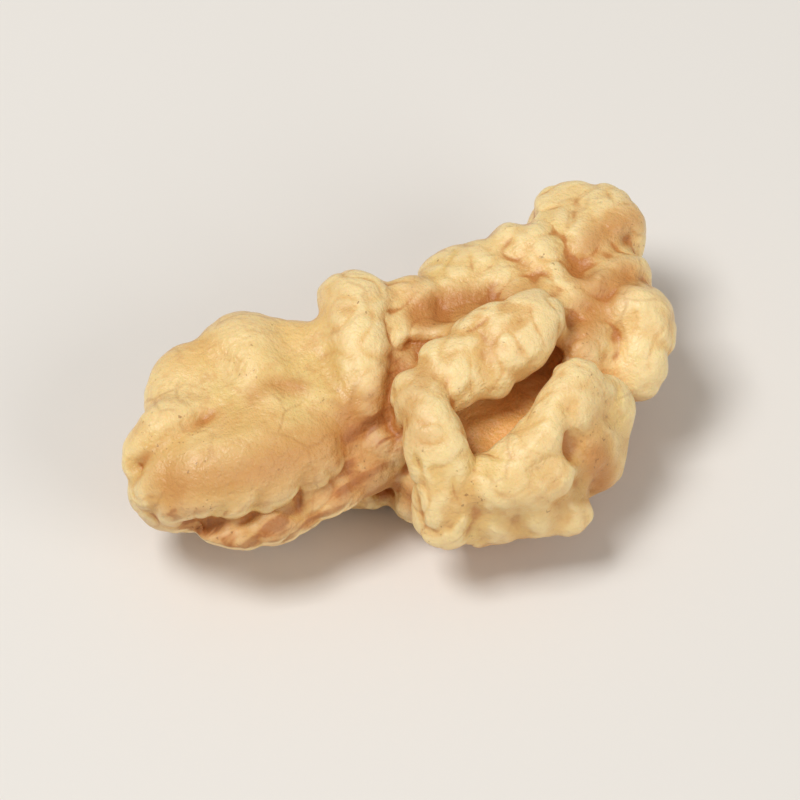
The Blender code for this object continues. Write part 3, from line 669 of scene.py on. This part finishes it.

# Tan dips of the face and the wall, partly the kernel's own tan and partly painted shade: rows of
# x, y, z, then half width, then how tan
dips = [
    ([(2.0, 1.9, 9.2), (3.8, 2.1, 9.5), (5.4, 1.9, 9.5)], 1.5, 1.15),
    ([(6.6, 1.9, 9.5), (8.6, 1.8, 9.3)], 1.3, 0.6),
    ([(9.2, -2.0, 7.6), (10.8, -1.4, 8.4), (12.8, 0.6, 8.8), (14.6, 1.6, 8.6)], 1.9, 0.85),
    # Painted shade on the lower side of the corner
    ([(9.4, -9.0, 6.4), (9.7, -9.2, 4.6), (9.8, -9.4, 2.6)], 1.7, 0.9),
    ([(0.4, -3.2, 10.2), (-0.6, -5.0, 10.0), (-0.6, -7.2, 9.8)], 1.5, 0.6),
    ([(16.2, 5.8, 8.4), (14.0, 4.6, 9.4), (12.4, 3.0, 9.6), (12.2, 1.6, 9.2)], 1.5, 0.8),
    ([(2.2, 4.4, 9.2), (1.6, 2.8, 9.6), (1.4, 1.6, 9.4)], 1.3, 0.6),
    ([(-17.2, -3.0, 7.9), (-14.6, -2.3, 8.6), (-12.2, -1.7, 9.0)], 0.55, 0.9),
    ([(-9.4, -1.2, 9.2), (-8.0, -0.8, 9.2), (-6.8, -1.2, 9.2)], 1.0, 0.8),
    ([(-2.0, -1.5, 8.4), (-4.4, -3.0, 8.0), (-7.4, -4.8, 7.2)], 1.5, 0.9),
    ([(-15.5, -5.2, 8.2), (-12.0, -5.8, 8.4), (-8.5, -5.4, 8.2), (-5.8, -4.4, 8.0)], 2.3, 0.8),
    # Painted shade on the flank under the septum skin
    ([(-4.5, -5.8, 4.4), (-1.4, -7.4, 3.6), (-0.6, -8.2, 2.4)], 1.6, 1.0),
]
tan = [share * nearness(points, rows, half) for rows, half, share in dips]
set_mark(kernel_mesh, "tan_and_shaded_dip", np.max(tan, axis=0))

# Laid on its back at the place of the solid, BOX_GAP metres inside its box. The lowest REST_DEPTH
# millimetres are pressed flat on the surface that it rests on

BOX_GAP = 0.00001

box_low, box_high = (np.array(corner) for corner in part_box("kernel"))
points[:, 2] = np.maximum(points[:, 2] - points[:, 2].min() - REST_DEPTH, 0)
low, high = points.min(0), points.max(0)
size = (box_high - box_low - 2 * BOX_GAP * np.array((1, 1, 0.5))) / (high - low)
start = box_low + BOX_GAP * np.array((1, 1, 0))
write_points(kernel_mesh, start + (points - low) * size)
kernel_mesh.shade_smooth()

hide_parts("kernel")
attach(kernel, "root")


# WALNUT SKIN
# The thin waxy skin over the flesh: cream with a painted highlight on the crowns, tan and painted
# shade in the dips, painted orange-brown shade in the creases and hollows, orange-brown on the
# septum skin, amber inside the window lifted to stand in for light, with painted shade at its
# deepest, fine dark specks, faint veins and a soft sheen.

skin = bpy.data.materials.new("walnut_flesh")
skin.use_nodes = True
tree = skin.node_tree
shader = tree.nodes["Principled BSDF"]
place = tree.nodes.new("ShaderNodeTexCoord").outputs["Object"]


def colour(red, green, blue):
    """A colour given as it looks on a screen, 0 to 255, made linear: each part to the power 2.4,
    with a straight foot for the darkest."""
    part = np.array((red, green, blue)) / 255
    return (*np.where(part > 0.04045, ((part + 0.055) / 1.055) ** 2.4, part / 12.92), 1.0)


def put(socket, value):
    """Gives a socket a value, or links another socket to it."""
    if isinstance(value, bpy.types.NodeSocket):
        tree.links.new(value, socket)
    else:
        socket.default_value = value


def mark(name):
    """A mark of the skin, read at each point."""
    node = tree.nodes.new("ShaderNodeAttribute")
    node.attribute_name = name
    return node.outputs["Fac"]


def noise(scale, detail=2.0, rough=0.5, bent=0.0, vector=place, output="Fac"):
    """Soft noise, with the given number of lumps to a metre."""
    node = tree.nodes.new("ShaderNodeTexNoise")
    put(node.inputs["Vector"], vector)
    node.inputs["Scale"].default_value = scale
    node.inputs["Detail"].default_value = detail
    node.inputs["Roughness"].default_value = rough
    node.inputs["Distortion"].default_value = bent
    return node.outputs[output]


def ramp(value, low, high, start=0.0, end=1.0):
    """Rises smoothly from start to end as the value goes from low to high."""
    node = tree.nodes.new("ShaderNodeMapRange")
    node.interpolation_type = "SMOOTHSTEP"
    put(node.inputs["Value"], value)
    for name, number in (("From Min", low), ("From Max", high), ("To Min", start), ("To Max", end)):
        node.inputs[name].default_value = number
    return node.outputs["Result"]


def reckoned(kind, first, second=0.0):
    """What the given kind of sum makes of one or two values."""
    node = tree.nodes.new("ShaderNodeMath")
    node.operation = kind
    put(node.inputs[0], first)
    put(node.inputs[1], second)
    return node.outputs[0]


def times(first, second):
    """The first value times the second."""
    return reckoned("MULTIPLY", first, second)


def plus(first, second):
    """The first value plus the second."""
    return reckoned("ADD", first, second)


def tinted(amount, under, over):
    """The colour over laid on the colour under, as thickly as the amount says."""
    node = tree.nodes.new("ShaderNodeMix")
    node.data_type = "RGBA"
    put(node.inputs[0], amount)
    put(node.inputs[6], under)
    put(node.inputs[7], over)
    return node.outputs[2]


CREAM = colour(246, 214, 150)
# A painted highlight for the crowns
HIGHLIGHT_PALE = colour(252, 226, 168)
BUTTER = colour(236, 193, 122)
STRAW = colour(234, 204, 128)
TAN = colour(208, 148, 80)
# The colour of the veins, also used for painted shade in the deepest hollows and in the creases of
# the outer side
VEIN_AND_SHADE = colour(172, 110, 52)
ORANGE_BROWN = colour(196, 126, 60)
# Window skin amber, lifted to stand in for light in the shaded hollow
AMBER = colour(246, 186, 106)
# Dark brown of the septum stripes, also painted shade deep in the window
DARK_BROWN = colour(150, 88, 46)
SPECK = colour(136, 84, 42)
SKIN_TURN = math.radians(18.4)
VEIN_BEND = 0.0016

# Cream flesh with butter and straw patches, and finer mottling
shade = tinted(ramp(noise(190, 3.0, 0.55), 0.35, 0.66), CREAM, BUTTER)
shade = tinted(ramp(noise(150, 2.0, 0.5, 0.6), 0.46, 0.62, 0.0, 0.55), shade, STRAW)
shade = tinted(ramp(noise(95, 2.0), 0.45, 0.72, 0.0, 0.50), shade, TAN)
shade = tinted(ramp(noise(1000, 4.0, 0.65, 0.4), 0.48, 0.68, 0.0, 0.40), shade, TAN)
shade = tinted(ramp(noise(3200, 2.0, 0.6), 0.35, 0.65, 0.0, 0.28), shade, BUTTER)

# A painted highlight, paler on the crowns, then painted shade, tan to orange-brown, in the hollows
# and creases, and tan in the dips, partly their own tone and partly painted shade
shade = tinted(ramp(mark("crease"), 0.50, 0.12, 0.0, 0.75), shade, HIGHLIGHT_PALE)
shade = tinted(ramp(mark("crease"), 0.52, 1.0, 0.0, 0.65), shade, TAN)
# Tan in the dips, partly their own tone and partly painted shade
shade = tinted(ramp(mark("tan_and_shaded_dip"), 0.15, 0.95, 0.0, 0.85), shade, TAN)
shade = tinted(ramp(mark("tan_and_shaded_dip"), 0.60, 1.05, 0.0, 0.60), shade, ORANGE_BROWN)
# Painted shade in the hollows, darkest in the deepest
shade = tinted(ramp(mark("hollow"), 0.60, 1.0, 0.0, 0.60), shade, TAN)
shade = tinted(ramp(mark("hollow"), 0.80, 1.0, 0.0, 0.70), shade, VEIN_AND_SHADE)
outer = mark("outer_side")
shade = tinted(times(outer, ramp(noise(140, 3.0), 0.30, 0.70, 0.35, 0.75)), shade, TAN)
# Painted shade in the creases of the outer side
shade = tinted(times(outer, ramp(mark("crease"), 0.52, 0.95, 0.0, 0.75)), shade, VEIN_AND_SHADE)
# Painted shade in the fine creases and the deepest creases
shade = tinted(ramp(mark("fine_crease"), 0.62, 1.0, 0.0, 0.50), shade, ORANGE_BROWN)
shade = tinted(ramp(mark("crease"), 0.76, 1.0, 0.0, 0.70), shade, ORANGE_BROWN)

# Faint veins along the edges of bent cells, stronger on the outer side
bent_place = tree.nodes.new("ShaderNodeVectorMath")
bent_place.operation = "MULTIPLY_ADD"
put(bent_place.inputs[0], noise(420, output="Color"))
bent_place.inputs[1].default_value = (VEIN_BEND, VEIN_BEND, VEIN_BEND)
put(bent_place.inputs[2], place)
cells = tree.nodes.new("ShaderNodeTexVoronoi")
cells.feature = "DISTANCE_TO_EDGE"
cells.inputs["Scale"].default_value = 330
put(cells.inputs["Vector"], bent_place.outputs[0])
vein = ramp(cells.outputs["Distance"], 0.0, 0.055, 1.0, 0.0)
vein = times(vein, ramp(noise(260, 2.0), 0.48, 0.66, 0.0, 0.28))
vein = times(vein, plus(times(outer, 1.6), 1.0))
shade = tinted(vein, shade, VEIN_AND_SHADE)

# Brown septum skin with fibres and darker stripes along it, and the amber skin inside the window,
# its colour lifted to stand in for light in the shaded hollow, with painted shade at its deepest
along_skin = tree.nodes.new("ShaderNodeMapping")
along_skin.vector_type = "TEXTURE"
along_skin.inputs["Rotation"].default_value = (0.0, 0.0, SKIN_TURN)
along_skin.inputs["Scale"].default_value = (5.0, 1.0, 1.0)
put(along_skin.inputs["Vector"], place)
fibres = noise(1300, 2.0, 0.5, 0.3, vector=along_skin.outputs[0])
streaks = noise(420, 3.0, 0.6, 0.6)
skin_share = ramp(mark("brown_skin"), 0.25, 0.80)
brown = times(skin_share, ramp(streaks, 0.25, 0.60, 0.55, 1.0))
brown = times(brown, ramp(fibres, 0.35, 0.65, 0.55, 1.0))
shade = tinted(brown, shade, ORANGE_BROWN)
stripes = times(skin_share, ramp(fibres, 0.50, 0.64, 0.0, 0.45))
shade = tinted(stripes, shade, DARK_BROWN)
# Amber window skin, lifted to stand in for light in the shaded hollow
window_skin_and_light = times(ramp(mark("window_wall"), 0.20, 0.80), ramp(streaks, 0.25, 0.55, 0.7, 1.0))
shade = tinted(window_skin_and_light, shade, AMBER)
# Painted shade in the deepest part of the window
painted_inner_shade = times(window_skin_and_light, ramp(mark("hollow"), 0.85, 1.0, 0.0, 0.2))
shade = tinted(painted_inner_shade, shade, DARK_BROWN)

# Fine dark specks in loose groups
dots = times(ramp(noise(3400, 1.0, 0.5), 0.675, 0.75), ramp(noise(330), 0.48, 0.66, 0.0, 0.55))
put(shader.inputs["Base Color"], tinted(dots, shade, SPECK))

# A waxy sheen, duller on the septum skin, with a little light passing under the surface
dull = times(skin_share, 0.16)
put(shader.inputs["Roughness"], plus(ramp(noise(700), 0.3, 0.7, 0.36, 0.50), dull))
shader.inputs["Specular IOR Level"].default_value = 0.45
shader.inputs["Coat Weight"].default_value = 0.16
shader.inputs["Coat Roughness"].default_value = 0.32
shader.inputs["Subsurface Weight"].default_value = 0.22
shader.inputs["Subsurface Radius"].default_value = (1.0, 0.62, 0.30)
shader.inputs["Subsurface Scale"].default_value = 0.0012

# The finest relief: grain, tiny folds, and the fibres of the septum skin
tiny_folds = reckoned("ABSOLUTE", reckoned("SUBTRACT", noise(1500, bent=0.8), 0.5))
relief = plus(noise(3600, 2.0, 0.6), times(noise(1300, bent=0.5), 1.5))
relief = plus(plus(relief, tiny_folds), times(times(fibres, skin_share), 1.6))
bump = tree.nodes.new("ShaderNodeBump")
bump.inputs["Strength"].default_value = 0.6
bump.inputs["Distance"].default_value = 0.00015
put(bump.inputs["Height"], relief)
put(shader.inputs["Normal"], bump.outputs["Normal"])

# The fused mesh has an empty slot of its own, so that is cleared first
kernel_mesh.materials.clear()
kernel_mesh.materials.append(skin)


# TABLE, LIGHT AND CAMERA
# A plain pale table, soft light from above and a little from the front, and a long lens at the
# height and turn from which the kernel was photographed.

TABLE_HALF = 3.0
ELEVATION = math.radians(54.0)
AZIMUTH = math.radians(-16.4)
CAMERA_DISTANCE = 0.40

table_mesh = bpy.data.meshes.new("table")
corners = [(x * TABLE_HALF, y * TABLE_HALF, 0) for x, y in ((-1, -1), (1, -1), (1, 1), (-1, 1))]
table_mesh.from_pydata(corners, [], [(0, 1, 2, 3)])
table = bpy.data.objects.new("table", table_mesh)
bpy.context.scene.collection.objects.link(table)
pale = bpy.data.materials.new("pale_table")
pale.use_nodes = True
table_shader = pale.node_tree.nodes["Principled BSDF"]
table_shader.inputs["Base Color"].default_value = colour(232, 228, 222)
table_shader.inputs["Roughness"].default_value = 0.7
table_mesh.materials.append(pale)

centre = Vector((0, 0, (box_low[2] + box_high[2]) / 2))


def soft_light(name, direction, distance, width, power):
    """A square lamp that shines at the kernel from a direction."""
    lamp = bpy.data.lights.new(name, "AREA")
    lamp.energy = power
    lamp.size = width
    holder = bpy.data.objects.new(name, lamp)
    bpy.context.scene.collection.objects.link(holder)
    way = Vector(direction).normalized()
    holder.location = centre + way * distance
    holder.rotation_euler = way.to_track_quat("Z", "Y").to_euler()


soft_light("window_light", (-0.42, 0.02, 1.0), distance=0.6, width=0.22, power=2.4)
soft_light("front_fill", (0.62, -0.9, 0.7), distance=0.7, width=0.4, power=1.35)

world = bpy.data.worlds.new("pale_room")
world.use_nodes = True
room = world.node_tree.nodes["Background"]
room.inputs["Color"].default_value = (1.0, 0.965, 0.91, 1.0)
room.inputs["Strength"].default_value = 0.30
bpy.context.scene.world = world
bpy.context.scene.view_settings.view_transform = "Standard"

lens_data = bpy.data.cameras.new("photo_camera")
lens_data.lens = 300
lens_data.sensor_width = 36
lens_data.clip_start = 0.01
camera = bpy.data.objects.new("photo_camera", lens_data)
bpy.context.scene.collection.objects.link(camera)
level = math.cos(ELEVATION)
back = Vector((math.sin(AZIMUTH) * level, -math.cos(AZIMUTH) * level, math.sin(ELEVATION)))
camera.location = centre + back * CAMERA_DISTANCE
camera.rotation_euler = back.to_track_quat("Z", "Y").to_euler()
bpy.context.scene.camera = camera
